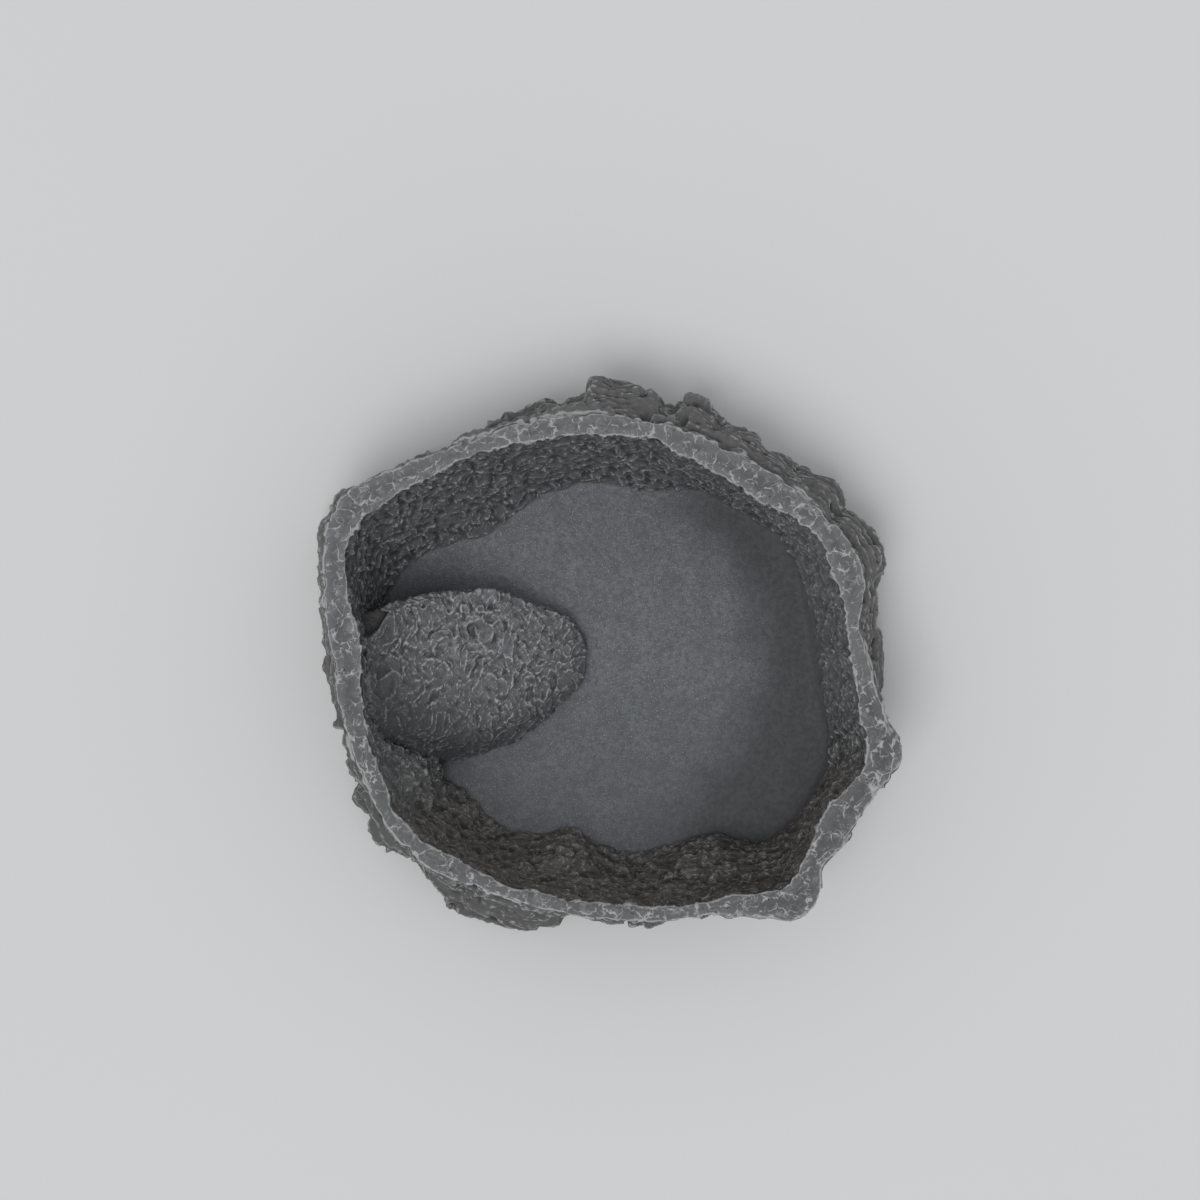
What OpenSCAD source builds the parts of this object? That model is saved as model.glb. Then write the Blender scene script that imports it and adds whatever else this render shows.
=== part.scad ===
// Rock-look water dish for a terrarium or pond edge, with a climbing ramp.
//
// The dish is one resin casting: a basin inside a wall shaped like stacked slate.
// The ramp is a second casting, bonded to the basin floor, with its head against the left wall.
// Four foam pads sit in shallow recesses under the dish.
// +Z is up. The origin is on the surface the dish stands on, under the middle of the dish.

/* [Overall size] */
// Length, left to right
dish_length = 200; // [180:1:220]
// Width, front to back
dish_width = 192; // [173:1:211]
// Height of the rim above the surface the dish stands on
dish_height = 50; // [45:1:56]

/* [Basin] */
// Height of the basin floor above the surface the dish stands on
floor_level = 12; // [9:0.5:15]
// Shape of the inner wall: 0.5 is a wide cove at the floor, 1 is a straight slope
wall_curve = 0.6; // [0.5:0.05:1]
// How far the two boulders stand out of the front wall
boulder_size = 6; // [0:0.5:8]

/* [Rock wall] */
// How far the slate slabs stand out, as a share of their full reach
slab_relief = 1; // [0.4:0.1:1.2]
// How far the foot of the wall spreads beyond the rim, as a share of its full spread
foot_flare = 1; // [0.4:0.1:1.2]

/* [Ramp] */
// How far the head of the ramp lies below the rim
head_drop = 4; // [3:0.5:10]
// Height of the toe of the ramp above the basin floor
toe_height = 4; // [3:0.5:6]
// Clearance between the ramp and the wall behind it
wall_gap = 0.8; // [0.6:0.1:1.5]
// Thickness of the adhesive under the ramp
adhesive_thickness = 0.5; // [0.3:0.1:1]

/* [Foot pads] */
// Diameter of a pad
pad_diameter = 14; // [10:1:18]
// Thickness of a pad
pad_thickness = 3; // [2:0.5:4]
// Depth of the recess that a pad sits in
pad_recess = 1.5; // [0.5:0.5:1.5]
// Clearance round a pad in its recess
pad_clearance = 0.2; // [0.1:0.1:0.5]

/* [Hidden] */

underside = pad_thickness - pad_recess;
wall_height = dish_height - underside;
basin_depth = dish_height - floor_level;
bed_top = floor_level + adhesive_thickness;
head_level = dish_height - head_drop;
toe_level = floor_level + toe_height;

// Number of points round the casting
around = 128;
// Number of bands up the outer wall
outer_bands = 14;
// Rings down the inner wall, as shares of the basin's depth
inner_rings = [1, 0.92, 0.81, 0.69, 0.57, 0.45, 0.34, 0.24, 0.16, 0.09, 0.04, 0];

// The dish is drawn at this size, and fitted to the driving sizes afterwards.
// Outlines are in millimetres, anticlockwise or clockwise round the basin's middle.
drawn_length = 200;
drawn_width = 192;
drawn_height = 50;

// Outer edge of the rim, with its two spurs at front right
RIM_OUTER = [
    [-97, 46], [-92, 57], [-79, 63], [-62, 70], [-46, 76], [-26, 82], [-1, 84], [12, 82],
    [23, 79], [38, 73], [48, 67], [62, 59], [74, 48], [83, 37], [86, 25], [83, 13],
    [87, -2], [91, -15], [99, -31], [99.5, -34], [95, -40], [86, -50], [82, -60], [71, -70],
    [70, -83], [63, -90], [60, -90], [50, -87], [28, -88], [1, -89], [-19, -86], [-36, -81],
    [-53, -76], [-64, -70], [-75, -60], [-83, -45], [-88, -33], [-92, -18], [-95, -2],
    [-97, 14], [-98, 33]];

// Inner edge of the rim
RIM_INNER = [
    [-89, 44], [-85, 48], [-66, 61], [-48, 69], [-26, 75], [-5, 77], [15, 76], [23, 70],
    [36, 64], [52, 53], [62, 47], [70, 41], [75, 29], [79, 13], [81, 0], [83, -14],
    [86, -27], [87, -34], [82, -42], [73, -50], [68, -61], [64, -70], [59, -79], [39, -81],
    [15, -84], [-12, -83], [-26, -80], [-39, -76], [-52, -69], [-66, -61], [-74, -52],
    [-79, -40], [-83, -29], [-85, -10], [-86, 6], [-88, 13], [-91, 25], [-91, 36]];

// Edge of the basin floor
FLOOR_EDGE = [
    [-80, 17], [-70, 34], [-57, 39], [-40, 43], [-35, 49], [-24, 56], [-7, 61], [6, 59],
    [16, 58], [29, 59], [44, 53], [55, 45], [62, 34], [67, 17], [70, -1], [70, -15],
    [74, -33], [70, -48], [62, -57], [51, -63], [36, -62], [24, -63], [8, -69], [-4, -64],
    [-14, -60], [-27, -62], [-38, -60], [-44, -55], [-48, -47], [-60, -42], [-68, -28],
    [-75, -12], [-79, 2]];

// Spread of the wall's foot beyond the rim: [direction in degrees, millimetres]
FOOT_SPREAD = [
    [0, 4], [20, 6], [45, 7], [70, 7], [90, 7], [110, 6], [135, 3], [150, 1], [180, 4],
    [205, 5], [222, 5], [250, 5], [280, 3], [296, 0], [304, -7], [312, 2], [330, 2],
    [341, -8], [350, 1], [360, 4]];

// Slate slabs on the outer wall:
// [direction in degrees, half of its spread in degrees, lowest z, highest z, reach]
SLABS = [
    [2, 11, 9, 23, 4], [9, 7, 30, 40, 3], [24, 9, 5, 19, 4], [25, 8, 26, 40, 7],
    [38, 6, 12, 36, 6], [48, 6, 5, 26, 3], [51, 5, 33, 41, 3], [59, 5, 16, 40, 4],
    [70, 6, 9, 37, 8], [77, 4, 5, 12, 3], [87, 9, 16, 40, 10], [98, 6, 5, 12, 3],
    [112, 12, 19, 30, 5], [118, 10, 37, 42, 5], [131, 8, 5, 16, 3], [146, 7, 26, 42, 4],
    [160, 8, 9, 19, 4], [170, 9, 26, 37, 2], [184, 9, 12, 23, 3], [200, 8, 19, 37, 3],
    [214, 9, 5, 16, 7], [219, 8, 30, 37, 5], [234, 7, 16, 26, 3], [248, 14, 5, 19, 7],
    [250, 11, 26, 30, 5], [268, 8, 30, 40, 2], [279, 10, 9, 23, 4], [294, 5, 5, 16, 3],
    [321, 7, 5, 23, 4], [324, 6, 33, 40, 2], [334, 5, 16, 30, 3]];
slab_side = 3;
slab_lip = 3;

// Boulders on the front wall: [direction, half spread, middle z, half height]
BOULDERS = [[257, 11, 23, 11], [300, 14, 24, 12]];

// Toe of the ramp on the basin floor: [y, x]
RAMP_TOE = [
    [-38, -60], [-36, -51], [-33, -42], [-30, -34], [-21, -22], [-12, -12.5], [-3, -9],
    [3, -8], [10, -11.5], [16, -18.5], [21, -31], [24, -41]];
// Cliff along the back edge of the ramp: [y, x]
RAMP_CLIFF = [[9, -92], [13, -85], [16, -78], [19, -71], [21, -64], [22.5, -56], [24, -46]];
// Highest that the ramp stands above the floor near its front flank, as a share: [y, share]
RAMP_SHOULDER = [[-38, 0.25], [-33, 0.5], [-26, 0.78], [-16, 1]];
ramp_tip_x = -8;
ramp_head_x = -88;
ramp_front_y = -38;
ramp_back_y = 24;
ramp_middle_y = -2;
ramp_slices = 21;
ramp_cells = 16;
ramp_back_cells = 5;
flank_slope = 0.7;
// Power of the ramp's rise from toe to head, and its fall from the middle to the back edge
rise_power = 1.08;
ramp_crown = 2;

// Outline of the adhesive under the ramp
ADHESIVE = [
    [-70, -8], [-60, -20], [-46, -28], [-34, -26], [-22, -15], [-15, 0], [-18, 11],
    [-34, 18], [-54, 17], [-72, 9]];

// Middles of the foot pads, from the middle of the dish
PAD_FRONT_LEFT = [-50, -55];
PAD_FRONT_RIGHT = [58, -60];
PAD_BACK_LEFT = [-68, 36];
PAD_BACK_RIGHT = [60, 44];

resin_grey = [0.38, 0.40, 0.41];
ramp_grey = [0.44, 0.46, 0.47];
adhesive_amber = [0.72, 0.62, 0.42];
foam_black = [0.12, 0.12, 0.13];

function clamp(share) = min(1, max(0, share));
function turn_between(a, b) = abs((a - b + 540) % 360 - 180);
function polar(outline) =
    [for (whole = [-360, 0, 360]) for (p = outline) [atan2(p.y, p.x) + whole, norm(p)]];

rim_outer = polar(RIM_OUTER);
rim_inner = polar(RIM_INNER);
floor_edge = polar(FLOOR_EDGE);

// Height on the drawn dish of a height on this one
function drawn(z) = z * drawn_height / dish_height;

function slab_reach(slab, a, z) =
    slab[4] * clamp((slab[1] - turn_between(a, slab[0])) / slab_side)
            * clamp(1 - max(slab[2] - z, z - slab[3]) / slab_lip);

function boulder_reach(boulder, a, z) =
    let (across = turn_between(a, boulder[0]) / boulder[1],
         up = (z - boulder[2]) / boulder[3])
    max(0, 1 - across * across - up * up);

// Radius of the outer wall in direction a at height z
function outside_radius(a, z) =
    lookup(a, rim_outer)
    + (dish_height - z) / wall_height * foot_flare * lookup(a, FOOT_SPREAD)
    + slab_relief * max([for (slab = SLABS) slab_reach(slab, a, drawn(z))]);

// Radius of the inner wall in direction a at height z
function inside_radius(a, z) =
    let (share = clamp((z - floor_level) / basin_depth),
         low = lookup(a, floor_edge),
         high = lookup(a, rim_inner))
    low + (high - low) * pow(share, wall_curve)
    - boulder_size * max([for (boulder = BOULDERS) boulder_reach(boulder, a, drawn(z))]);

function ring(radii, z) =
    [for (i = [0 : around - 1]) let (a = 360 * i / around) [radii[i] * cos(a), radii[i] * sin(a), z]];
function outer_ring(z) = ring([for (i = [0 : around - 1]) outside_radius(360 * i / around, z)], z);
function inner_ring(z) = ring([for (i = [0 : around - 1]) inside_radius(360 * i / around, z)], z);

drawn_rings = concat(
    [for (k = [0 : outer_bands]) outer_ring(underside + wall_height * k / outer_bands)],
    [for (share = inner_rings) inner_ring(floor_level + basin_depth * share)]);

// Fit to the driving length and width
all_x = [for (r = drawn_rings) for (p = r) p.x];
all_y = [for (r = drawn_rings) for (p = r) p.y];
middle = [(min(all_x) + max(all_x)) / 2, (min(all_y) + max(all_y)) / 2];
fit_x = dish_length / (max(all_x) - min(all_x));
fit_y = dish_width / (max(all_y) - min(all_y));
function fitted(p) = [(p.x - middle.x) * fit_x, (p.y - middle.y) * fit_y, p.z];
function fitted_flat(p) = [(p.x - middle.x) * fit_x, (p.y - middle.y) * fit_y];

// Two triangles for each cell between ring j and the next
function band(j, count) =
    [for (i = [0 : count - 1]) let (a = j * count + i, b = j * count + (i + 1) % count)
        each [[a, a + count, b + count], [a, b + count, b]]];

// Average of a list of points
function middle_of(points) =
    [for (axis = [0 : 2]) [for (p = points) p[axis]] * [for (p = points) 1] / len(points)];

// Closed solid through a list of rings, its first and last rings capped round their middles
module skin(rings) {
    count = len(rings[0]);
    last = len(rings) - 1;
    first_middle = count * len(rings);
    last_middle = first_middle + 1;
    polyhedron(
        points = concat([for (r = rings) each r], [middle_of(rings[0]), middle_of(rings[last])]),
        faces = concat(
            [for (i = [0 : count - 1]) [first_middle, i, (i + 1) % count]],
            [for (j = [0 : last - 1]) each band(j, count)],
            [for (i = [0 : count - 1])
                [last_middle, last * count + (i + 1) % count, last * count + i]]),
        convexity = 6);
}

// x of the inner face of the left wall at a given y and z
function wall_x(y, z) =
    lookup(y, [for (a = [130 : 3 : 250]) let (r = inside_radius(a, z)) [r * sin(a), r * cos(a)]]);

function ramp_back_x(y, z) =
    let (wall = wall_x(y, z) + wall_gap)
    y < RAMP_CLIFF[0].x ? wall : max(wall, lookup(y, RAMP_CLIFF));

// Height of the ramp's surface: a rise from toe to head, rounded down along the front flank
function ramp_top(x, y) =
    let (up = clamp((ramp_tip_x - x) / (ramp_tip_x - ramp_head_x)),
         across = (y - ramp_middle_y) / (ramp_back_y - ramp_middle_y),
         rise = toe_level + pow(up, rise_power) * (head_level - toe_level),
         flank = toe_level + flank_slope * (lookup(y, RAMP_TOE) - x),
         shoulder = floor_level + lookup(y, RAMP_SHOULDER) * (head_level - floor_level))
    max(toe_level - 1, min(rise, y < 0 ? flank : head_level, shoulder) - ramp_crown * across * across);

// One slice across X through the ramp: along its top to the toe, and back up the wall side
function ramp_slice(y) =
    let (toe_x = lookup(y, RAMP_TOE),
         head_x = ramp_back_x(y, ramp_top(ramp_back_x(y, head_level), y)),
         head_z = ramp_top(head_x, y))
    [for (p = concat(
        [for (k = [0 : ramp_cells]) let (x = head_x + (toe_x - head_x) * k / ramp_cells)
            [x, y, ramp_top(x, y)]],
        [[toe_x, y, bed_top]],
        [for (k = [0 : ramp_back_cells - 1])
            let (z = bed_top + (head_z - bed_top) * k / ramp_back_cells)
            [ramp_back_x(y, z), y, z]])) fitted(p)];

module pad_at(place) {
    translate([place.x * dish_length / drawn_length, place.y * dish_width / drawn_width, 0])
        children();
}

module recess() {
    translate([0, 0, underside - 1])
        cylinder(d = pad_diameter + 2 * pad_clearance, h = pad_recess + 1, $fn = 48);
}

module pad() {
    color(foam_black) cylinder(d = pad_diameter, h = pad_thickness, $fn = 48);
}

// Basin, rim and rock wall in one casting, with a recess for each pad
module dish_casting() {
    color(resin_grey) difference() {
        skin([for (r = drawn_rings) [for (p = r) fitted(p)]]);
        for (place = [PAD_FRONT_LEFT, PAD_FRONT_RIGHT, PAD_BACK_LEFT, PAD_BACK_RIGHT])
            pad_at(place) recess();
    }
}

module climbing_ramp() {
    color(ramp_grey) skin([for (k = [0 : ramp_slices])
        ramp_slice(ramp_front_y + (ramp_back_y - ramp_front_y) * k / ramp_slices)]);
}

// Thin bed of adhesive between the ramp and the basin floor
module ramp_adhesive() {
    color(adhesive_amber) translate([0, 0, floor_level]) linear_extrude(adhesive_thickness)
        polygon([for (p = ADHESIVE) fitted_flat(p)]);
}

module foot_pad_front_left() { pad_at(PAD_FRONT_LEFT) pad(); }
module foot_pad_front_right() { pad_at(PAD_FRONT_RIGHT) pad(); }
module foot_pad_back_left() { pad_at(PAD_BACK_LEFT) pad(); }
module foot_pad_back_right() { pad_at(PAD_BACK_RIGHT) pad(); }

dish_casting();
climbing_ramp();
ramp_adhesive();
foot_pad_front_left();
foot_pad_front_right();
foot_pad_back_left();
foot_pad_back_right();
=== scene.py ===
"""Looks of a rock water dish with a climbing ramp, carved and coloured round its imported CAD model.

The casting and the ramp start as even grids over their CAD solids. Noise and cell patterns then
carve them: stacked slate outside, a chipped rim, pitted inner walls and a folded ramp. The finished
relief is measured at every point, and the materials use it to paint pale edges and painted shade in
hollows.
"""

import math

import bmesh
import bpy
import numpy as np
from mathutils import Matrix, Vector


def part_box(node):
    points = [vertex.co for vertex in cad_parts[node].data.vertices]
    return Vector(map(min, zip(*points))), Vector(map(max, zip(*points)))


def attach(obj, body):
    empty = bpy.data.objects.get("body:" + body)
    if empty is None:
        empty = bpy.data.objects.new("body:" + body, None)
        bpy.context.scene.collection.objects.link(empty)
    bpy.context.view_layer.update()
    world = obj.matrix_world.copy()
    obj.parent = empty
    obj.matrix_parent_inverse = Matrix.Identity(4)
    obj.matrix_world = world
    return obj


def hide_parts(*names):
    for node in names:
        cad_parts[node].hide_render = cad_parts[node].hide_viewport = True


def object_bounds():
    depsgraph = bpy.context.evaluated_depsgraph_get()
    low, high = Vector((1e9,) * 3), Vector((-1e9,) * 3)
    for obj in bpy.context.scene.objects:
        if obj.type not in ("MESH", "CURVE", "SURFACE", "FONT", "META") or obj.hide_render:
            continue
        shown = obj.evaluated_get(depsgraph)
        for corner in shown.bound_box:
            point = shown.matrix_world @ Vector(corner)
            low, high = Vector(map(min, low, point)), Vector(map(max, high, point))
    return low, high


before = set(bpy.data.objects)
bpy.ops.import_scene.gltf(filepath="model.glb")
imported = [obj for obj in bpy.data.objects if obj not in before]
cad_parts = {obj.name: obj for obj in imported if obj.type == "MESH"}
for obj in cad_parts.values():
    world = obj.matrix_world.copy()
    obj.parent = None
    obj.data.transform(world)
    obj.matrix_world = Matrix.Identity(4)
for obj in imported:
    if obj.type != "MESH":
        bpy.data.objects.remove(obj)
cad_low, cad_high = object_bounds()

MM = 0.001
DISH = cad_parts["dish_casting"]
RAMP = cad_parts["climbing_ramp"]
RIM_TOP = cad_high.z
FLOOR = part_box("ramp_adhesive")[0].z
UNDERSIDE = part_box("dish_casting")[0].z


# ---------------------------------------------------------------- patterns

def smooth(value, low, high):
    """0 below low, 1 above high, and an S curve between."""
    share = np.clip((value - low) / (high - low), 0, 1)
    return share * share * (3 - 2 * share)


def scatter(cell, seed):
    """A fixed random number from 0 to 1 for each whole-number point."""
    x, y, z = (cell & 0xFFFFFFFF).astype(np.uint32).T
    code = x * np.uint32(374761393) + y * np.uint32(668265263) + z * np.uint32(2246822519)
    code = code + np.uint32(seed * 97531 + 12345)
    code = (code ^ (code >> np.uint32(13))) * np.uint32(1274126177)
    code = (code ^ (code >> np.uint32(15))) * np.uint32(2654435761)
    return ((code ^ (code >> np.uint32(16))) & np.uint32(0xFFFFFF)) / float(0xFFFFFF)


def noise(points, size, seed=0, octaves=1):
    """Soft noise from -1 to 1, with lumps of the given size."""
    total = np.zeros(len(points))
    weight = 1.0
    scaled = points / size + seed * 17.3
    for octave in range(octaves):
        cell = np.floor(scaled).astype(np.int64)
        part = scaled - cell
        part = part * part * (3 - 2 * part)
        for corner in np.ndindex(2, 2, 2):
            share = np.where(corner, part, 1 - part).prod(axis=1)
            total += weight * share * (2 * scatter(cell + corner, seed + octave) - 1)
        scaled = scaled * 2.03 + 5.7
        weight *= 0.5
    return total


def cells(points, size, seed=0, jitter=0.9):
    """A broken-up cell pattern: three random numbers per cell, and, in cell widths, the distance
    to the cell's edge and the way to its middle."""
    scaled = points / size + seed * 11.9
    home = np.floor(scaled).astype(np.int64)
    nearest = np.full(len(points), 9.0)
    second = np.full(len(points), 9.0)
    way = np.zeros_like(scaled)
    second_way = np.zeros_like(scaled)
    random = np.zeros_like(scaled)
    for step in np.ndindex(3, 3, 3):
        cell = home + np.array(step) - 1
        offset = np.stack([scatter(cell, seed + k) for k in (1, 2, 3)], axis=1)
        at = cell + 0.5 + jitter * (offset - 0.5) - scaled
        reach = (at * at).sum(axis=1)
        closer = reach < nearest
        runner_up = ~closer & (reach < second)
        second = np.where(closer, nearest, np.where(runner_up, reach, second))
        second_way = np.where(closer[:, None], way, np.where(runner_up[:, None], at, second_way))
        nearest = np.where(closer, reach, nearest)
        way = np.where(closer[:, None], at, way)
        random = np.where(closer[:, None], offset, random)
    apart = np.linalg.norm(second_way - way, axis=1)
    return random, (second - nearest) / (2 * np.maximum(apart, 1e-6)), way


def chips(points, size, seed, lean=2.0):
    """Broken stone: flat faces at odd angles, from about -1 to 1."""
    random, _, way = cells(points, size, seed)
    return 2 * random[:, 0] - 1 + lean * ((random[:, [1, 2, 0]] - 0.5) * way).sum(axis=1)


def bowls(points, size, seed):
    """Round hollows with raised borders, from -0.25 in the middle to 0.3."""
    _, _, way = cells(points, size, seed)
    return np.minimum(np.linalg.norm(way, axis=1), 0.75) ** 2 - 0.25


def wandering(points, size, reach, seed=0):
    """The points, each pushed about by noise, so that patterns made from them bend."""
    push = np.stack([noise(points, size, seed + k) for k in (0, 1, 2)], axis=1)
    return points + push * reach


def ridges(points, size, seed):
    """Open curling ridges: 1 along each crest, falling to 0 beside it."""
    return 1 - np.minimum(np.abs(noise(points, size, seed)) / 0.5, 1)


# ---------------------------------------------------------------- mesh tools

def coords(piece):
    flat = np.empty(len(piece.data.vertices) * 3)
    piece.data.vertices.foreach_get("co", flat)
    return flat.reshape(-1, 3)


def set_coords(piece, points):
    piece.data.vertices.foreach_set("co", points.ravel())
    piece.data.update()


def normals(piece):
    flat = np.empty(len(piece.data.vertices) * 3)
    piece.data.vertex_normals.foreach_get("vector", flat)
    return flat.reshape(-1, 3)


def edges(piece):
    flat = np.empty(len(piece.data.edges) * 2, dtype=np.int64)
    piece.data.edges.foreach_get("vertices", flat)
    return flat.reshape(-1, 2)


def relaxed(points, links, times, amount=1.0):
    """The points after each has moved towards the middle of its neighbours, times over."""
    ends = np.concatenate([links, links[:, ::-1]])
    count = np.maximum(np.bincount(ends[:, 0], minlength=len(points)), 1)
    for _ in range(times):
        middle = np.stack([
            np.bincount(ends[:, 0], weights=points[ends[:, 1], axis], minlength=len(points)) / count
            for axis in range(points.shape[1])], axis=1)
        points = points + (middle - points) * 0.6 * amount
    return points


def remade(piece, kind, **settings):
    """Gives the piece the mesh that one modifier makes of it."""
    modifier = piece.modifiers.new(kind.lower(), kind)
    for key, value in settings.items():
        setattr(modifier, key, value)
    graph = bpy.context.evaluated_depsgraph_get()
    mesh = bpy.data.meshes.new_from_object(piece.evaluated_get(graph))
    piece.modifiers.clear()
    piece.data = mesh


def grid_copy(node, name, voxel):
    """A new piece with the shape of a CAD node, covered by an even grid of small faces."""
    piece = bpy.data.objects.new(name, node.data.copy())
    piece.data.transform(node.matrix_world)
    bpy.context.collection.objects.link(piece)
    remade(piece, "REMESH", mode="VOXEL", voxel_size=voxel)
    return piece


def store(piece, name, values):
    layer = piece.data.attributes.new(name, "FLOAT", "POINT")
    layer.data.foreach_set("value", values.astype(np.float32))


def store_relief(piece):
    """Stores how far each point stands out from its surroundings, finely and broadly, in mm."""
    points, links, facing = coords(piece), edges(piece), normals(piece)
    for name, times in (("fine", 3), ("broad", 25)):
        level = relaxed(points, links, times)
        store(piece, name, ((points - level) * facing).sum(axis=1) / MM)


def finish_mesh(piece, most_faces):
    """Thins the mesh where it is flat, until it has few enough triangles."""
    triangles = sum(len(face.vertices) - 2 for face in piece.data.polygons)
    if triangles > most_faces:
        remade(piece, "DECIMATE", ratio=most_faces / triangles)
    piece.data.polygons.foreach_set("use_smooth", [True] * len(piece.data.polygons))
    piece.data.update()


# ---------------------------------------------------------------- casting

def edge_by_direction(points, outermost):
    """Radius of a ring of points as a function of direction."""
    turn = np.arctan2(points[:, 1], points[:, 0])
    radius = np.hypot(points[:, 0], points[:, 1])
    slots = 90
    slot = np.floor((turn / (2 * math.pi) + 0.5) * slots).astype(int) % slots
    best = [radius[slot == k].max() if outermost else radius[slot == k].min()
            for k in range(slots) if (slot == k).any()]
    middle = [(k + 0.5) / slots * 2 * math.pi - math.pi for k in range(slots) if (slot == k).any()]
    return lambda x, y: np.interp(np.arctan2(y, x), middle, best, period=2 * math.pi)


cad_points = coords(DISH)
at_rim = cad_points[cad_points[:, 2] > RIM_TOP - 0.1 * MM]
at_floor = cad_points[np.abs(cad_points[:, 2] - FLOOR) < 0.05 * MM]
at_floor = at_floor[np.hypot(at_floor[:, 0], at_floor[:, 1]) < 85 * MM]
at_foot = cad_points[cad_points[:, 2] < UNDERSIDE + 0.1 * MM]
rim_outside = edge_by_direction(at_rim, True)
foot_outside = edge_by_direction(at_foot, True)
rim_inside = edge_by_direction(at_rim, False)
floor_edge = edge_by_direction(at_floor, True)


def inner_radius(x, y, z):
    """Radius of the basin's inner wall at a height."""
    share = np.clip((z - FLOOR) / (RIM_TOP - FLOOR), 0, 1)
    low = floor_edge(x, y)
    return low + (rim_inside(x, y) - low) * share ** 0.6


def regions(points, facing):
    """How much each point belongs to the outer wall, rim, inner wall and floor, from 0 to 1."""
    x, y, z = points.T
    # Under the basin only the foot's border belongs to the outer wall, not the pads' recesses
    below_floor = smooth(FLOOR - 1 * MM - z, 0, 1 * MM)
    past_wall = smooth(np.hypot(x, y) - inner_radius(x, y, z), 3 * MM, 5 * MM)
    near_foot = smooth(np.hypot(x, y) - foot_outside(x, y), -9 * MM, -6 * MM)
    outside = np.where(below_floor > 0.5, near_foot, past_wall)
    rim = smooth(z, RIM_TOP - 3.2 * MM, RIM_TOP - 2.2 * MM) * smooth(facing[:, 2], 0.35, 0.7)
    # On the right the floor sweeps up into the wall; elsewhere it ends at a crisp edge
    turn = np.arctan2(y, x)
    sweep = smooth(np.cos(turn + math.radians(8)), 0.55, 0.95)
    wobble = noise(points, 6 * MM, seed=4, octaves=2)
    height = (0.9 + 3 * sweep) * MM + wobble * (0.4 + 1.8 * sweep) * MM
    blur = (0.3 + 2.2 * sweep) * MM
    floor = (1 - outside) * smooth(FLOOR + height + blur - z, 0, 2 * blur) * (1 - below_floor)
    outer = outside * (1 - rim)
    inner = (1 - outside) * (1 - rim) * (1 - floor) * (1 - below_floor)
    return outer, rim, inner, floor


def horizontal(points, facing):
    """Unit directions straight out from the dish's middle, leaning towards the surface's own."""
    out = points * [1, 1, 0]
    out /= np.linalg.norm(out, axis=1)[:, None]
    out = out + facing * [0.6, 0.6, 0]
    return out / np.linalg.norm(out, axis=1)[:, None]


def bedding(points):
    """The points, bent so that level layers in them come out wavy, tilted and of uneven thickness."""
    bent = wandering(points, 7 * MM, 0.4 * MM, seed=22)
    bent[:, 2] += 2.0 * MM * noise(points * [1, 1, 0.3], 34 * MM, seed=21, octaves=2)
    bent[:, 2] += 0.05 * points[:, 0] - 0.03 * points[:, 1]
    wave = points[:, 2] * 2 * math.pi / (19 * MM) + 3 * noise(points, 40 * MM, seed=23)
    bent[:, 2] += 1.7 * MM * np.sin(wave)
    return bent


def layers(bent, thickness, block, seed):
    """Stacked layers of broken blocks: how far each face stands out, and mm above its underside."""
    level = bent[:, 2] / thickness
    layer = np.floor(level)
    on_layer = bent.copy()
    on_layer[:, 2] = layer * 37.1 * MM
    face = chips(on_layer, block, seed, 3.0)
    flakes = chips(on_layer + [0, 0, 5 * MM], 5 * MM, seed + 5)
    return face, flakes, (level - layer) * thickness / MM


def slate(points):
    """How far the outer wall's big slabs and thin leaves stand out, in mm."""
    bent = bedding(points)
    face, flakes, above = layers(bent, 7.5 * MM, 24 * MM, seed=31)
    gap = (1 - smooth(above, 0.6, 1.0)) * smooth(noise(points, 15 * MM, seed=34), -0.5, -0.1)
    out = 1.5 * face + 0.5 * flakes - 2.2 * gap
    leafy = smooth(noise(points, 18 * MM, seed=32), -0.2, 0.0)
    face, flakes, above = layers(bent, 2.5 * MM, 15 * MM, seed=41)
    gap = 1 - smooth(above, 0.3, 0.6)
    return out + leafy * (1.1 * face + 0.4 * flakes - 0.9 * gap)


def terraced(points, outer):
    """The points, with the wall's upper slopes cut back into narrow steps that widen downwards."""
    x, y, _ = points.T
    radius = np.hypot(x, y)
    bent = bedding(points)
    nibbles = chips(bent * [1, 1, 0.3], 6 * MM, seed=37)
    step = 3.3 * MM
    blocks = chips(points * [1, 1, 0], 20 * MM, seed=38)
    depth = np.floor((RIM_TOP - (1 + 1.5 * blocks) * MM - bent[:, 2]) / step) * step
    slope = 0.75 + 0.4 * noise(points * [1, 1, 0], 22 * MM, seed=36)
    limit = 0.8 * MM + slope * np.maximum(depth, 0) + 0.5 * MM * nibbles
    excess = np.maximum(radius - rim_outside(x, y) - limit, 0) * outer
    return points * (1 - excess / radius)[:, None] * [1, 1, 0] + points * [0, 0, 1]


# How much farther out than the CAD wall the slate lies on the whole: direction in degrees, mm
WALL_BIAS = [
    (0, -0.5), (20, 0.3), (62, 0.3), (68, -1.5), (73, 0.5), (78, 0.3), (81, -3), (85, 0.5),
    (92, 0.3), (96, -1.5), (103, -0.5), (112, -3.5), (125, -4.5), (148, -3.5), (156, -1),
    (165, 0), (174, -2), (180, -3.5), (197, -3.5), (205, -2.2), (222, -2.2), (235, 0.3),
    (250, 0.3), (260, -1), (267, -4), (285, -4.5), (296, -5), (345, -5), (356, -2.5)]


def wall_bias(points):
    turn = np.degrees(np.arctan2(points[:, 1], points[:, 0])) % 360
    turns, reach = np.array(WALL_BIAS).T
    return np.interp(turn, turns, reach, period=360)


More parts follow.
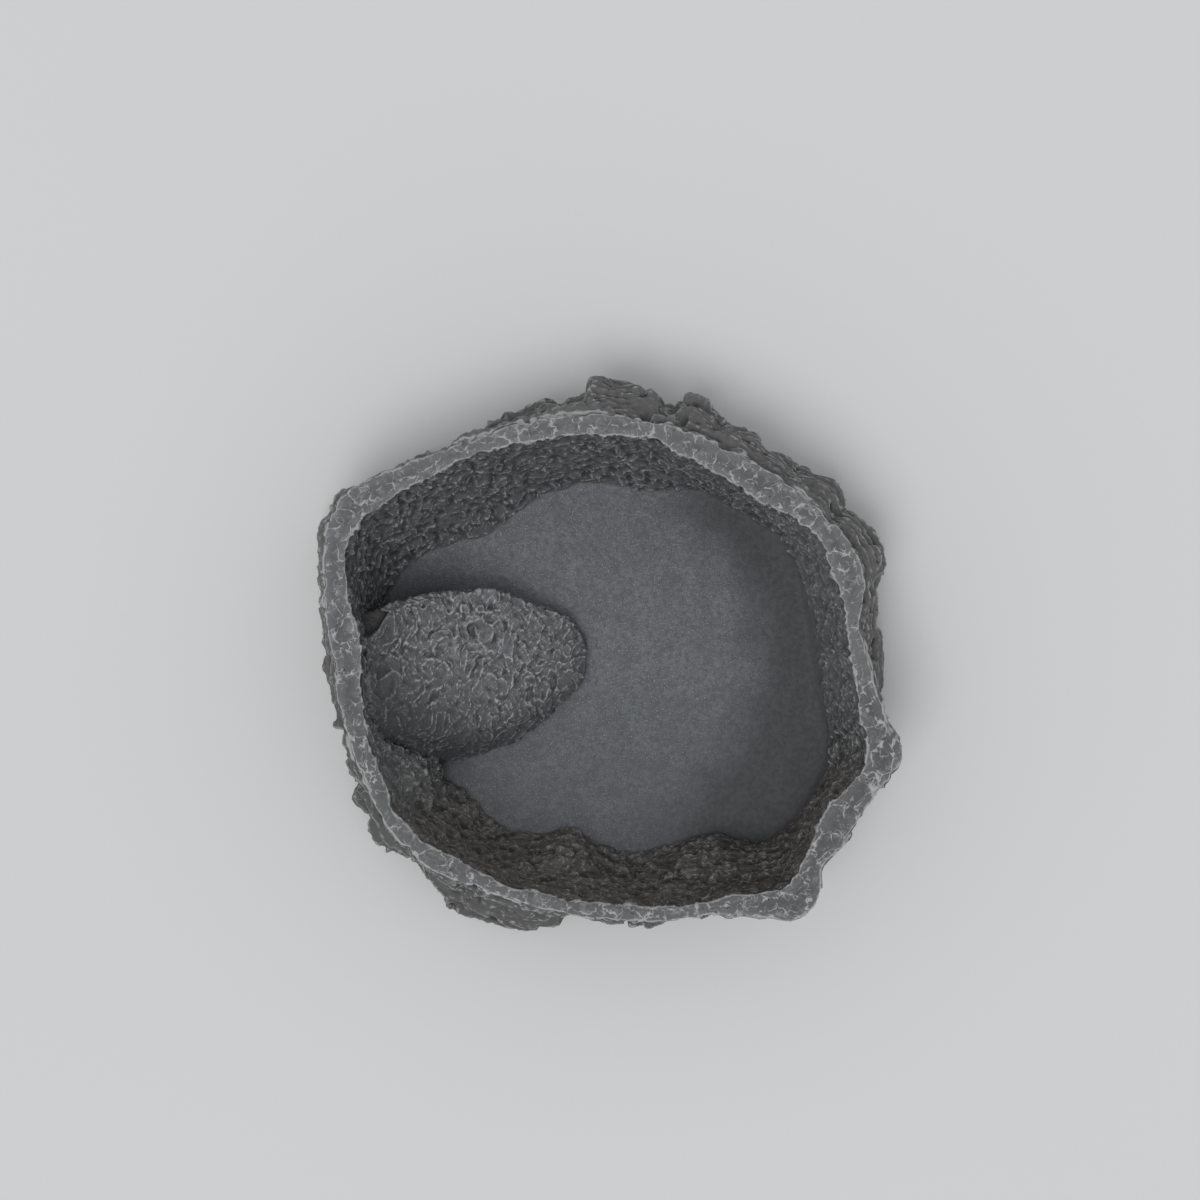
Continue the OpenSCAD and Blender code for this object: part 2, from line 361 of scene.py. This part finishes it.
def where(mask, points, rule):
    """The rule's values where the mask is above zero, faded by the mask."""
    inside = mask > 0.01
    values = np.zeros(len(points))
    values[inside] = rule(points[inside])
    return values * mask


def rim_plates(points):
    """The level of each plate that the rim is broken into, from 0 to 1."""
    bent = wandering(points * [1, 1, 0], 6 * MM, 1.6 * MM, seed=52)
    random, _, _ = cells(wandering(bent, 2 * MM, 0.35 * MM, seed=53), 8 * MM, seed=51)
    return random[:, 0]


def wall_lumps(points):
    """Broad lumps and folds of the inner wall, in mm."""
    lump = noise(points, 11 * MM, seed=6, octaves=2)
    front = smooth(-points[:, 1], 20 * MM, 50 * MM) * smooth(RIM_TOP - 10 * MM - points[:, 2], 0, 8 * MM)
    slant = np.array([0.85, 0.45, 0.25])
    drawn_out = points - 0.6 * np.outer(points @ slant, slant)
    fold = ridges(wandering(drawn_out, 5 * MM, 1.5 * MM, seed=64), 5.5 * MM, seed=7) ** 2
    right = smooth(points[:, 0], 30 * MM, 60 * MM) * smooth(points[:, 1], -10 * MM, 20 * MM)
    flute = noise(points * [1, 1, 0.25], 6 * MM, seed=14, octaves=2)
    scales = chips(wandering(drawn_out, 4 * MM, 1.5 * MM, seed=67), 6 * MM, seed=68, lean=3.0)
    return 0.9 * lump + front * (1.3 * fold + 0.4 * scales) + 0.6 * right * flute


def wall_pits(points):
    """Short curling crests and pits of the inner wall, in mm."""
    bent = wandering(points, 3.5 * MM, 1.4 * MM, seed=61)
    bent = wandering(bent, 1.5 * MM, 0.5 * MM, seed=65)
    here = smooth(noise(points, 5 * MM, seed=8, octaves=2), -0.3, 0.5)
    there = smooth(noise(points, 3.2 * MM, seed=18, octaves=2), -0.3, 0.5)
    curls = here * ridges(bent, 4.2 * MM, seed=82) ** 3
    curls += 0.9 * there * ridges(bent, 2.8 * MM, seed=83) ** 3
    pits = 1.2 * bowls(bent, 2.7 * MM, seed=71) + curls
    front = smooth(-points[:, 1], 30 * MM, 55 * MM)
    return pits * (1 - 0.5 * front) + 0.6 * noise(bent, 2.7 * MM, seed=19, octaves=2)


def kept_inside(points, low, high):
    """The points, eased back where they come close to the sides of a box, and cut at top and bottom."""
    ease = 0.3 * MM
    kept = np.clip(points, np.array(low), np.array(high))
    for axis in (0, 1):
        for sign, limit in ((1, high[axis]), (-1, -low[axis])):
            room = limit - sign * points[:, axis]
            near = room < 8 * ease
            kept[near, axis] = sign * (limit - ease * np.log1p(np.exp(room[near] / ease)))
    return kept


# Middle of the swelling where the ramp's front flank runs into the inner wall
SWELL_MIDDLE = np.array([-67, -39, 20]) * MM


def carve_big(piece):
    """Slate slabs, rim chips, and lumps on the inner wall."""
    points, links = coords(piece), edges(piece)
    near_top = smooth(points[:, 2], RIM_TOP - 2.5 * MM, RIM_TOP - 1 * MM)
    points = relaxed(points, links, times=9, amount=(1 - 0.96 * near_top)[:, None])
    set_coords(piece, points)
    facing = normals(piece)
    outer, rim, inner, _ = regions(points, facing)
    out = horizontal(points, facing)
    z = points[:, 2]

    # Slate below the rim
    below = smooth(RIM_TOP - z, 2 * MM, 4 * MM)
    deep = smooth(RIM_TOP - z, 2.5 * MM, 9 * MM)
    ledge = smooth(noise(points * [1, 1, 0], 14 * MM, seed=33), -0.4, 0.1)
    push = where(outer * below, points, slate)
    push = push + outer * (1.4 * below * ledge + deep * wall_bias(points))
    points = terraced(points + out * (push * MM)[:, None], outer * below)

    # Chipped edges on the rim, and plates at different levels on top of it
    near_rim = smooth(z, RIM_TOP - 5 * MM, RIM_TOP - 2.5 * MM)
    chipped = where(near_rim, points, lambda p: np.maximum(chips(p * [1, 1, 0.5], 5.5 * MM, seed=5), 0))
    x, y, _ = points.T
    outward = smooth(np.hypot(x, y) - rim_inside(x, y), 3 * MM, 6 * MM)
    points -= out * ((2.1 * outward - 0.5) * chipped * MM)[:, None]
    points[:, 2] -= 0.45 * MM * where(rim, points, rim_plates)

    # Lumps on the inner wall, and the swelling by the ramp
    points += facing * (where(inner, points, wall_lumps) * MM)[:, None]
    swell = smooth(np.linalg.norm(points - SWELL_MIDDLE, axis=1), 20 * MM, 3 * MM)
    points += facing * (inner * swell * 7 * MM)[:, None]
    set_coords(piece, points)


def carve_fine(piece):
    """Pits on the inner wall, thin leaves on the slate, and small chips."""
    points, links = coords(piece), edges(piece)
    points = relaxed(points, links, times=1)
    set_coords(piece, points)
    facing = normals(piece)
    outer, rim, inner, floor = regions(points, facing)

    def thin_leaves(p):
        face, _, above = layers(bedding(p), 1.5 * MM, 8 * MM, seed=43)
        return 0.4 * face - 0.3 * (1 - smooth(above, 0.2, 0.5))

    upright = 1 - smooth(np.abs(facing[:, 2]), 0.4, 0.7)
    grit = noise(points, 1.5 * MM, seed=15, octaves=3)
    push = where(inner, points, wall_pits) + where(outer * upright, points, thin_leaves)
    push += (0.16 * outer + 0.1 * rim) * grit
    push += floor * 0.05 * noise(points, 7 * MM, seed=10, octaves=2)
    points = points + facing * (push * MM)[:, None]
    set_coords(piece, kept_inside(points, *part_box("dish_casting")))
    return regions(points, facing)


def make_dish():
    """The casting: big shapes on a coarse grid, then small ones on a finer grid."""
    piece = grid_copy(DISH, "rock_dish", voxel=0.8 * MM)
    carve_big(piece)
    remade(piece, "REMESH", mode="VOXEL", voxel_size=0.6 * MM)
    parts = carve_fine(piece)
    for name, part in zip(("outer", "rim", "inner", "floor"), parts):
        store(piece, name, part)
    store_relief(piece)
    finish_mesh(piece, most_faces=198000)
    return piece


# ---------------------------------------------------------------- ramp

# Front edge of the notch at the ramp's head
NOTCH_X = np.array([-86, -84, -80, -77, -75, -72, -66]) * MM
NOTCH_Y = np.array([9, 7.5, 7, 9.5, 13, 18, 22]) * MM


def carve_ramp(piece):
    """Curling crests and flaky scales, and a head that runs on into the dish's wall."""
    points, links = coords(piece), edges(piece)
    low = points[:, 2].min()
    points = relaxed(points, links, times=6)
    set_coords(piece, points)
    facing = normals(piece)
    x, y, _ = points.T
    out = points * [1, 1, 0] / np.hypot(x, y)[:, None]
    by_wall = smooth((facing * out).sum(axis=1), 0.2, 0.6) * smooth(-x, 45 * MM, 55 * MM)
    points = points + out * (by_wall * 3 * MM)[:, None]

    # A notch at the head, where the back cliff meets the wall
    behind = y - np.interp(x, NOTCH_X, NOTCH_Y)
    notch = smooth(behind, -1.2 * MM, 1.8 * MM) * smooth(-x, 64 * MM, 72 * MM)
    points[:, 2] = low + (points[:, 2] - low) * (1 - 0.22 * notch)

    bent = wandering(points, 6 * MM, 1.8 * MM, seed=63)
    bent = wandering(bent, 2.2 * MM, 0.5 * MM, seed=66)
    lean = bent @ np.array([[1.1, 0.25, 0], [-0.2, 0.8, 0], [0, 0, 1]])
    here = smooth(noise(points, 9 * MM, seed=12, octaves=2), -0.4, 0.5)
    there = smooth(noise(points, 5 * MM, seed=17, octaves=2), -0.4, 0.5)
    curls = 0.6 * here * ridges(lean, 5 * MM, seed=80) ** 3
    curls += 0.7 * there * ridges(lean, 3.2 * MM, seed=81) ** 3
    scales = 0.34 * chips(lean, 4.6 * MM, seed=74, lean=3.0)
    scales += 0.18 * chips(lean, 2.6 * MM, seed=75, lean=3.0)
    worn = smooth(np.hypot(x + 62 * MM, y + 24 * MM), 30 * MM, 12 * MM)
    crumple = 0.8 * noise(points, 13 * MM, seed=11) + 0.6 * noise(bent, 4 * MM, seed=19, octaves=3)
    push = (curls + scales) * (1 - 0.5 * worn) + crumple
    points = points + facing * (push * MM)[:, None]
    points[:, 2] = np.maximum(points[:, 2], low)
    set_coords(piece, points)
    store(piece, "notch", notch)


def make_ramp():
    piece = grid_copy(RAMP, "rock_ramp", voxel=0.5 * MM)
    carve_ramp(piece)
    store_relief(piece)
    finish_mesh(piece, most_faces=120000)
    return piece


# ---------------------------------------------------------------- materials

def grey(level, warmth=0.0):
    """Linear colour for an 8-bit grey, a little warmer or cooler."""
    share = [(level + warmth) / 255, level / 255, (level - warmth) / 255]
    return [c / 12.92 if c < 0.04045 else ((c + 0.055) / 1.055) ** 2.4 for c in share] + [1.0]


class Surface:
    """A material and short ways of adding nodes to it."""

    def __init__(self, name):
        self.material = bpy.data.materials.new(name)
        self.material.use_nodes = True
        self.tree = self.material.node_tree
        self.shader = self.tree.nodes["Principled BSDF"]
        self.place = self.add("ShaderNodeTexCoord").outputs["Object"]

    def add(self, kind, inputs=(), **settings):
        node = self.tree.nodes.new(kind)
        for key, value in settings.items():
            setattr(node, key, value)
        for key, value in dict(inputs).items():
            self.put(node.inputs[key], value)
        return node

    def put(self, socket, value):
        if isinstance(value, bpy.types.NodeSocket):
            self.tree.links.new(value, socket)
        else:
            socket.default_value = value

    def stored(self, name):
        return self.add("ShaderNodeAttribute", attribute_name=name).outputs["Fac"]

    def noise(self, size, detail=3.0, roughness=0.5, place=None):
        inputs = {"Vector": place or self.place, "Scale": 1 / size, "Detail": detail,
                  "Roughness": roughness}
        return self.add("ShaderNodeTexNoise", inputs).outputs["Fac"]

    def bent(self, size, reach, place=None):
        """Texture space pushed about by noise."""
        place = place or self.place
        push = self.add("ShaderNodeTexNoise", {"Vector": place, "Scale": 1 / size, "Detail": 2.0})
        offset = self.add("ShaderNodeVectorMath", {0: push.outputs["Color"], 1: (-0.5, -0.5, -0.5)})
        scaled = self.add("ShaderNodeVectorMath", {0: offset.outputs[0], "Scale": reach},
                          operation="SCALE")
        total = self.add("ShaderNodeVectorMath", {0: place, 1: scaled.outputs[0]})
        return total.outputs[0]

    def drawn_out(self, stretch, place):
        """Texture space with its patterns longer along X by this factor."""
        return self.add("ShaderNodeMapping", {"Vector": place, "Scale": (1 / stretch, 1, 1)}).outputs[0]

    def away(self, point):
        """Distance from a point."""
        node = self.add("ShaderNodeVectorMath", {0: self.place, 1: point}, operation="DISTANCE")
        return node.outputs["Value"]

    def axis(self, name):
        return self.add("ShaderNodeSeparateXYZ", {0: self.place}).outputs[name]

    def veins(self, size, width, place):
        """1 on the borders of a cell pattern, falling to 0 at the given share of a cell."""
        cell = self.add("ShaderNodeTexVoronoi", {"Vector": place, "Scale": 1 / size},
                        feature="DISTANCE_TO_EDGE")
        return self.span(cell.outputs["Distance"], width, 0.0)

    def strands(self, size, width, place):
        """Thin curling lines: 1 along each, falling to 0 beside it."""
        value = self.noise(size, 1.0, place=place)
        off = self.add("ShaderNodeMath", {0: value, 1: 0.5}, operation="SUBTRACT").outputs[0]
        off = self.add("ShaderNodeMath", {0: off}, operation="ABSOLUTE").outputs[0]
        return self.span(off, width, 0.0)

    def span(self, value, low, high):
        """Smoothly from 0 at low to 1 at high."""
        node = self.add("ShaderNodeMapRange", {"Value": value, "From Min": low, "From Max": high},
                        interpolation_type="SMOOTHSTEP")
        return node.outputs["Result"]

    def sum(self, *values):
        total = values[0]
        for value in values[1:]:
            total = self.add("ShaderNodeMath", {0: total, 1: value}, operation="ADD").outputs[0]
        return total

    def times(self, *values):
        total = values[0]
        for value in values[1:]:
            total = self.add("ShaderNodeMath", {0: total, 1: value}, operation="MULTIPLY").outputs[0]
        return total

    def mix(self, share, first, second):
        node = self.add("ShaderNodeMix", data_type="RGBA")
        self.put(node.inputs["Factor"], share)
        self.put(node.inputs[6], first)
        self.put(node.inputs[7], second)
        return node.outputs[2]

    def bump(self, height, distance, strength=1.0):
        inputs = {"Height": height, "Distance": distance, "Strength": strength}
        return self.add("ShaderNodeBump", inputs).outputs["Normal"]

    def finish(self, colour, roughness, normal=None):
        self.put(self.shader.inputs["Base Color"], colour)
        self.put(self.shader.inputs["Roughness"], roughness)
        self.shader.inputs["Specular IOR Level"].default_value = 0.35
        if normal is not None:
            self.put(self.shader.inputs["Normal"], normal)
        return self.material


class Rock(Surface):
    """A carved surface: its measured relief, and the patterns that its parts share."""

    def __init__(self, name, blotch, broken, wormy):
        super().__init__(name)
        self.fine, self.broad = self.stored("fine"), self.stored("broad")
        self.grain = self.noise(0.6 * MM, 4.0, 0.6)
        self.crumbs = self.noise(1.5 * MM, 3.0)
        self.blotch = self.noise(blotch, 3.0)
        self.broken = self.span(self.noise(1.1 * MM, 4.0, 0.65), *broken)
        self.wormy = self.bent(1.6 * MM, wormy, self.bent(5 * MM, 3 * MM))

    def near(self, point, outer, inner):
        """1 within the inner distance of a point, falling to 0 at the outer one."""
        return self.span(self.away(point), outer, inner)


def inner_wall(s, corner):
    """Colour of the inner wall, and the pale curls on its crests."""
    patch = s.span(s.noise(5 * MM), 0.4, 0.55)
    curls = s.times(s.strands(3.4 * MM, 0.045, s.wormy), patch)
    curls = s.sum(curls, s.times(s.strands(2.2 * MM, 0.05, s.wormy), s.span(s.crumbs, 0.45, 0.55)))
    curls = s.times(curls, s.span(s.fine, -0.05, 0.04))

    # Cool grey, brownish at the front where warm light is painted on, and streaked there and by the ramp
    warm = s.span(s.sum(s.axis("Y"), s.times(s.axis("X"), -0.08)), -26 * MM, -58 * MM)
    flank = s.near((-74 * MM, -32 * MM, 30 * MM), 34 * MM, 10 * MM)
    streaks = s.strands(2.6 * MM, 0.05, s.drawn_out(2.4, s.wormy))
    streaks = s.times(streaks, s.span(s.crumbs, 0.42, 0.56), s.sum(warm, s.times(flank, 0.7)))
    cool_grey = s.mix(s.blotch, grey(84, -2), grey(96, -1))
    warm_lit_grey = s.mix(s.blotch, grey(82, 3), grey(98, 4))
    colour = s.mix(warm, cool_grey, warm_lit_grey)
    # Painted shade in the broad hollows
    colour = s.mix(s.times(s.span(s.broad, 0.1, -0.5), 0.75), colour, grey(42, 1))

    # Painted light: paler on the right and by the ramp. Darker towards the front right, and painted
    # shade in the corner by the ramp
    painted_light_right = s.times(s.span(s.axis("X"), 45 * MM, 75 * MM), s.span(s.axis("Y"), -30 * MM, -5 * MM), 0.35)
    colour = s.mix(s.sum(painted_light_right, s.times(flank, 0.4)), colour, grey(124))
    darker_front_right = s.near((52 * MM, -74 * MM, 30 * MM), 45 * MM, 10 * MM)
    colour = s.mix(s.times(darker_front_right, 0.5), colour, grey(50, 2))
    # Painted shade in the corner by the ramp's front flank
    colour = s.mix(corner, colour, grey(48))

    pale = s.mix(warm, grey(172, -1), grey(156, 3))
    colour = s.mix(s.times(s.span(s.fine, 0.05, 0.19), s.broken, 0.7), colour, pale)
    colour = s.mix(s.times(curls, 0.75), colour, pale)
    return s.mix(s.times(streaks, 0.6), colour, pale), curls


def outer_wall(s, behind):
    """Colour of the outer wall: brownish slate with pale lips."""
    lips = s.sum(s.times(s.span(s.noise(7 * MM), 0.4, 0.6), 0.65), 0.35)
    lips = s.times(s.span(s.fine, 0.05, 0.15), lips, s.sum(s.times(s.broken, 0.5), 0.45))
    # Painted light: lighter towards the back, as if lit there, and darker at the front
    shaded_front_grey = s.mix(s.blotch, grey(88), grey(108))
    lit_back_grey = s.mix(s.blotch, grey(102, 1), grey(120))
    colour = s.mix(behind, shaded_front_grey, lit_back_grey)
    colour = s.mix(s.times(s.span(s.crumbs, 0.4, 0.65), 0.35), colour, grey(84, 1))
    # Painted shade in the hollows between slabs
    colour = s.mix(s.times(s.span(s.broad, 0.0, -0.6), 0.8), colour, grey(42, 2))
    return s.mix(lips, colour, grey(176))


def rim_top(s, behind):
    """Colour of the rim: light grey plates with whitish veins. Also gives the wide veins."""
    cracked = s.bent(1 * MM, 0.9 * MM, s.bent(5 * MM, 5 * MM))
    width = s.sum(s.times(s.span(s.noise(3 * MM, 2.0), 0.4, 0.65), 0.07), 0.012)
    veins = s.times(s.veins(6.5 * MM, width, cracked), s.span(s.noise(4 * MM, 3.0), 0.32, 0.5))
    thin_veins = s.times(s.strands(4.5 * MM, 0.02, cracked), s.span(s.noise(3.5 * MM), 0.42, 0.58))
    haze = s.times(s.span(s.noise(3 * MM, 5.0, 0.65), 0.5, 0.68), s.broken)
    pinholes = s.span(s.noise(1.6 * MM, 1.0), 0.27, 0.22)
    # Painted light: lighter towards the back, darker at the front
    shaded_front_grey = s.mix(s.blotch, grey(98, -1.5), grey(115, -1))
    lit_back_grey = s.mix(s.blotch, grey(106, -1.5), grey(124, -1))
    colour = s.mix(behind, shaded_front_grey, lit_back_grey)
    # Painted shade in the rim's hollows
    colour = s.mix(s.times(s.span(s.broad, 0.3, -0.2), 0.7), colour, grey(76))
    colour = s.mix(s.times(haze, 0.35), colour, grey(176, -2))
    colour = s.mix(s.times(s.sum(veins, s.times(thin_veins, 0.7)), 0.85), colour, grey(190, -1))
    colour = s.mix(s.times(s.span(s.fine, 0.07, 0.14), 0.8), colour, grey(186, -1))
    # Painted shade: dark pinholes stand in for the shade inside small pits
    return s.mix(s.times(pinholes, 0.8), colour, grey(45)), veins


def basin_floor(s, corner):
    """Colour of the floor: cool blue-grey, dark where it sweeps up on the right, with painted shade in
    the corner by the ramp and a painted shadow at the foot of the ramp's back cliff.
    """
    specks = s.span(s.noise(0.5 * MM, 2.0), 0.6, 0.7)
    clouds = s.span(s.noise(1.8 * MM, 5.0, 0.7), 0.3, 0.7)
    mottle = s.span(s.noise(10 * MM, 5.0, 0.65), 0.4, 0.6)
    drift = s.times(s.noise(14 * MM, 3.0), 16 * MM)
    from_middle = s.sum(s.away((-8 * MM, 0, FLOOR)), drift)
    right = s.times(s.span(from_middle, 58 * MM, 80 * MM), s.span(s.axis("X"), 0, 42 * MM))
    # Painted shadow at the foot of the ramp's back cliff
    from_pocket = s.sum(s.away((-68 * MM, 24 * MM, FLOOR)), drift)
    cliff_shadow = s.times(s.span(from_pocket, 42 * MM, 12 * MM), 0.35)
    front = s.times(s.span(s.sum(s.axis("Y"), drift), 12 * MM, -45 * MM), 0.35)
    colour = s.mix(clouds, grey(96, -3), grey(123, -3))
    colour = s.mix(s.times(mottle, 0.4), colour, grey(96, -3))
    colour = s.mix(s.times(specks, 0.75), colour, grey(176, -1))
    colour = s.mix(front, colour, grey(84, -3))
    colour = s.mix(s.times(right, 0.85), colour, s.mix(clouds, grey(68, -2), grey(82, -2)))
    return s.mix(s.sum(cliff_shadow, s.times(corner, 0.8)), colour, grey(62, -3))


def dish_material():
    s = Rock("cast_rock", blotch=9 * MM, broken=(0.35, 0.58), wormy=1.3 * MM)
    rim, inner, floor, outer = (s.stored(name) for name in ("rim", "inner", "floor", "outer"))
    # Painted light: mask for the back of the dish painted lighter and the front darker
    behind = s.span(s.axis("Y"), -40 * MM, 20 * MM)
    # Painted shade in the corner where the ramp's front flank meets the wall
    corner = s.times(s.near((-60 * MM, -33 * MM, 20 * MM), 24 * MM, 6 * MM), 0.55)
    inner_colour, curls = inner_wall(s, corner)
    rim_colour, veins = rim_top(s, behind)
    colour = s.mix(inner, outer_wall(s, behind), inner_colour)
    colour = s.mix(rim, colour, rim_colour)
    colour = s.mix(floor, colour, basin_floor(s, corner))

    # A pale broken line along both edges of the rim
    brink = s.times(s.span(rim, 0.1, 0.45), s.span(rim, 0.98, 0.6), s.span(s.noise(3 * MM), 0.3, 0.45))
    colour = s.mix(s.times(brink, 0.9), colour, grey(182))
    rough_share = s.sum(s.times(inner, 0.9), s.times(outer, 0.9), s.times(rim, 0.6), 0.12)
    height = s.times(s.sum(s.grain, s.times(s.crumbs, 1.5)), rough_share)
    height = s.sum(height, s.times(curls, inner, 1.5), s.times(veins, rim, 0.5))
    return s.finish(colour, 0.82, s.bump(height, 0.35 * MM))


def ramp_material():
    s = Rock("ramp_rock", blotch=10 * MM, broken=(0.3, 0.55), wormy=1.2 * MM)
    curls = s.times(s.strands(3 * MM, 0.045, s.wormy), s.span(s.fine, -0.05, 0.05))
    curls = s.times(curls, s.span(s.noise(5 * MM), 0.4, 0.52))

    # Brightest along the top of the cliff, and darker low down at the front, from painted shade and less
    # pale dry-brush there
    far = s.sum(s.away((-36 * MM, 12 * MM, FLOOR + 24 * MM)), s.times(s.blotch, 12 * MM))
    low = s.span(far, 32 * MM, 56 * MM)
    brushed = s.times(s.span(far, 46 * MM, 16 * MM), s.span(s.noise(2.5 * MM, 5.0, 0.65), 0.4, 0.65))
    # Painted shade in the corner where the ramp runs into the wall
    corner = s.near((-72 * MM, -34 * MM, FLOOR + 14 * MM), 32 * MM, 10 * MM)
    pale = s.mix(low, grey(180, -1), grey(116, -1))
    colour = s.mix(s.blotch, grey(90, -2), grey(108, -2))
    # Painted shade in the hollows
    colour = s.mix(s.times(s.span(s.broad, 0.05, -0.45), 0.75), colour, grey(50, -1))
    colour = s.mix(s.times(low, 0.8), colour, grey(64, -1))
    colour = s.mix(s.times(corner, 0.6), colour, grey(52, -1))
    colour = s.mix(s.times(brushed, 0.45), colour, grey(160, -2))
    colour = s.mix(s.times(s.span(s.fine, 0.015, 0.13), s.broken, 0.85), colour, pale)
    colour = s.mix(s.times(curls, 0.5), colour, pale)
    # Painted shade in the notch at the ramp's head
    notch_shade_grey = s.mix(s.grain, grey(56, 1), grey(86, 2))
    colour = s.mix(s.times(s.stored("notch"), 0.75), colour, notch_shade_grey)
    height = s.sum(s.grain, s.times(s.crumbs, 1.5), curls)
    return s.finish(colour, 0.8, s.bump(height, 0.35 * MM))


def foam_material():
    s = Surface("pad_foam")
    pores = s.veins(0.5 * MM, 0.3, s.place)
    colour = s.mix(pores, grey(30), grey(46))
    return s.finish(colour, 0.9, s.bump(pores, 0.08 * MM))


def adhesive_material():
    s = Surface("cured_adhesive")
    cloud = s.noise(4 * MM, 3.0)
    colour = s.mix(cloud, grey(150, 25), grey(176, 22))
    return s.finish(colour, 0.35, s.bump(cloud, 0.3 * MM))


# ---------------------------------------------------------------- foot pads

def make_pad(node_name):
    """A round foam pad with soft edges, pressed a little wider at its waist."""
    low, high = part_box(node_name)
    radius = (high.x - low.x) / 2
    height = high.z - low.z
    soft = 0.5 * MM
    profile = [(0, 0), (radius - 2 * soft, 0)]
    for k in range(1, 6):
        a = math.radians(90 * k / 5)
        profile.append((radius - soft + soft * math.sin(a) - 0.2 * MM, soft - soft * math.cos(a)))
    profile.append((radius, height * 0.5))
    profile += [(radius - 0.2 * MM, height - soft), (radius - soft, height), (0, height)]
    mesh = bmesh.new()
    rows = [mesh.verts.new((r, 0, z)) for r, z in profile]
    links = [mesh.edges.new(pair) for pair in zip(rows, rows[1:])]
    bmesh.ops.spin(mesh, geom=rows + links, angle=2 * math.pi, steps=64, axis=(0, 0, 1), cent=(0, 0, 0))
    bmesh.ops.remove_doubles(mesh, verts=mesh.verts, dist=0.01 * MM)
    bmesh.ops.recalc_face_normals(mesh, faces=mesh.faces)
    middle = (low + high) / 2
    bmesh.ops.translate(mesh, verts=mesh.verts, vec=Vector((middle.x, middle.y, low.z)))
    data = bpy.data.meshes.new(node_name + "_foam")
    mesh.to_mesh(data)
    mesh.free()
    piece = bpy.data.objects.new(node_name + "_foam", data)
    bpy.context.collection.objects.link(piece)
    data.polygons.foreach_set("use_smooth", [True] * len(data.polygons))
    return piece


# ---------------------------------------------------------------- assembly

def fit(piece, material, node_name):
    """Gives a new piece its material, and puts it in place of its CAD node."""
    piece.data.materials.clear()
    piece.data.materials.append(material)
    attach(piece, "root")
    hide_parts(node_name)


fit(make_dish(), dish_material(), "dish_casting")
fit(make_ramp(), ramp_material(), "climbing_ramp")
foam = foam_material()
for corner in ("front_left", "front_right", "back_left", "back_right"):
    fit(make_pad("foot_pad_" + corner), foam, "foot_pad_" + corner)
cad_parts["ramp_adhesive"].data.materials.clear()
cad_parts["ramp_adhesive"].data.materials.append(adhesive_material())


# ---------------------------------------------------------------- stage, light, camera

def make_stage():
    mesh = bmesh.new()
    bmesh.ops.create_circle(mesh, cap_ends=True, segments=96, radius=12)
    data = bpy.data.meshes.new("floor")
    mesh.to_mesh(data)
    mesh.free()
    ground = bpy.data.objects.new("floor", data)
    bpy.context.collection.objects.link(ground)
    ground.location.z = cad_low.z - 0.02 * MM
    s = Surface("pale_floor")
    tone = s.mix(s.noise(0.4, 2.0), grey(223), grey(227))
    data.materials.append(s.finish(tone, 0.7))


def make_light():
    world = bpy.data.worlds.new("studio")
    world.use_nodes = True
    world.node_tree.nodes["Background"].inputs["Color"].default_value = (0.97, 0.985, 1.0, 1)
    world.node_tree.nodes["Background"].inputs["Strength"].default_value = 0.54
    bpy.context.scene.world = world
    sun = bpy.data.objects.new("key", bpy.data.lights.new("key", "SUN"))
    sun.data.energy = 1.0
    sun.data.angle = math.radians(32)
    sun.rotation_mode = "QUATERNION"
    sun.rotation_quaternion = Vector((-0.22, -0.42, 1.0)).to_track_quat("Z", "Y")
    bpy.context.collection.objects.link(sun)


def make_camera():
    """Straight down into the basin, a little off the dish's middle, as the dish was seen."""
    camera = bpy.data.objects.new("camera", bpy.data.cameras.new("camera"))
    camera.data.lens = 80.6
    camera.data.sensor_width = 36
    camera.location = (-1.7 * MM, 19.4 * MM, cad_high.z + 0.9)
    bpy.context.collection.objects.link(camera)
    bpy.context.scene.camera = camera


make_stage()
make_light()
make_camera()
bpy.context.scene.view_settings.view_transform = "Standard"
